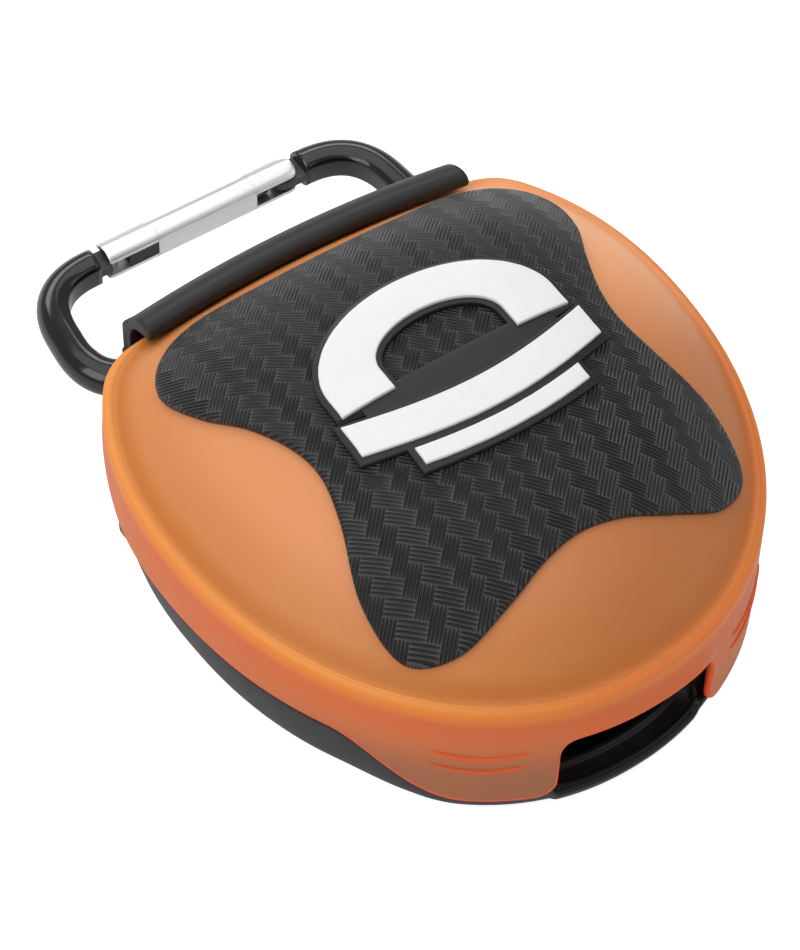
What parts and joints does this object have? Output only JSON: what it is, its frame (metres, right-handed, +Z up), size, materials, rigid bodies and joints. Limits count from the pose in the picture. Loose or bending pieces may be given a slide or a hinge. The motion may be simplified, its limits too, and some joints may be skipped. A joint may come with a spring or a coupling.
{
  "type": "mouthguard with case",
  "caption": "Domed clam-shell carry case on a pinned hinge, with a soft grip pad, a front opening, a snap-gate carabiner and a mouthguard inside.",
  "frame": {"origin": "on the flat underside of the base, under the widest section of the case, on its middle plane", "axes": "+Z up through the lid, +Y towards the hinge and the carabiner, -Y towards the front opening, +X across the case"},
  "size_m": [0.0856, 0.1122, 0.0451],
  "materials": {
    "black_plastic": "satin moulded",
    "orange_plastic": "frosted translucent",
    "grip_rubber": "woven-look texture",
    "white_plastic": "satin",
    "steel": "bright drawn wire",
    "black_anodised": "gloss black anodised",
    "satin_aluminium": "satin",
    "guard_rubber": "smooth moulded",
    "guard_gel": "soft gel"
  },
  "bodies": {
    "case_base": {"base_shell": "black_plastic", "hinge_pin_left": "steel", "hinge_pin_right": "steel", "mouthguard_frame": "guard_rubber", "mouthguard_liner": "guard_gel"},
    "lid": {"lid_shell": "orange_plastic", "lid_grip_pad": "grip_rubber", "badge_plate": "black_plastic", "badge_arch": "white_plastic", "badge_upper_bar": "white_plastic", "badge_lower_bar": "white_plastic", "hinge_rail": "black_plastic"},
    "carabiner": {"carabiner_frame": "black_anodised"},
    "gate": {"carabiner_gate": "satin_aluminium", "gate_pivot_rivet": "steel", "gate_latch_pin": "steel", "gate_spring": "steel"},
    "plunger": {"gate_plunger": "steel"}
  },
  "joints": [
    {"name": "lid_hinge", "type": "hinge", "parent": "case_base", "child": "lid", "pos_m": [0, 0.0338, 0.018], "axis": [-1, 0, 0], "range_deg": [0, 100]},
    {"name": "carabiner_swing", "type": "hinge", "parent": "case_base", "child": "carabiner", "pos_m": [0, 0.0365, 0.009], "axis": [1, 0, 0], "range_deg": [-90, 25]},
    {"name": "gate_hinge", "type": "hinge", "parent": "carabiner", "child": "gate", "pos_m": [0.0148, 0.0574, 0.009], "axis": [0, 0, 1], "range_deg": [0, 30], "stiffness_Nm_per_rad": 0.02},
    {"name": "plunger_slide", "type": "slide", "parent": "gate", "child": "plunger", "axis": [-1, 0, 0], "range_m": [0, 0.0007]}
  ],
  "couplings": [
    {"joint": "plunger_slide", "follows": "gate_hinge", "m_per_rad": 0.0012}
  ]
}
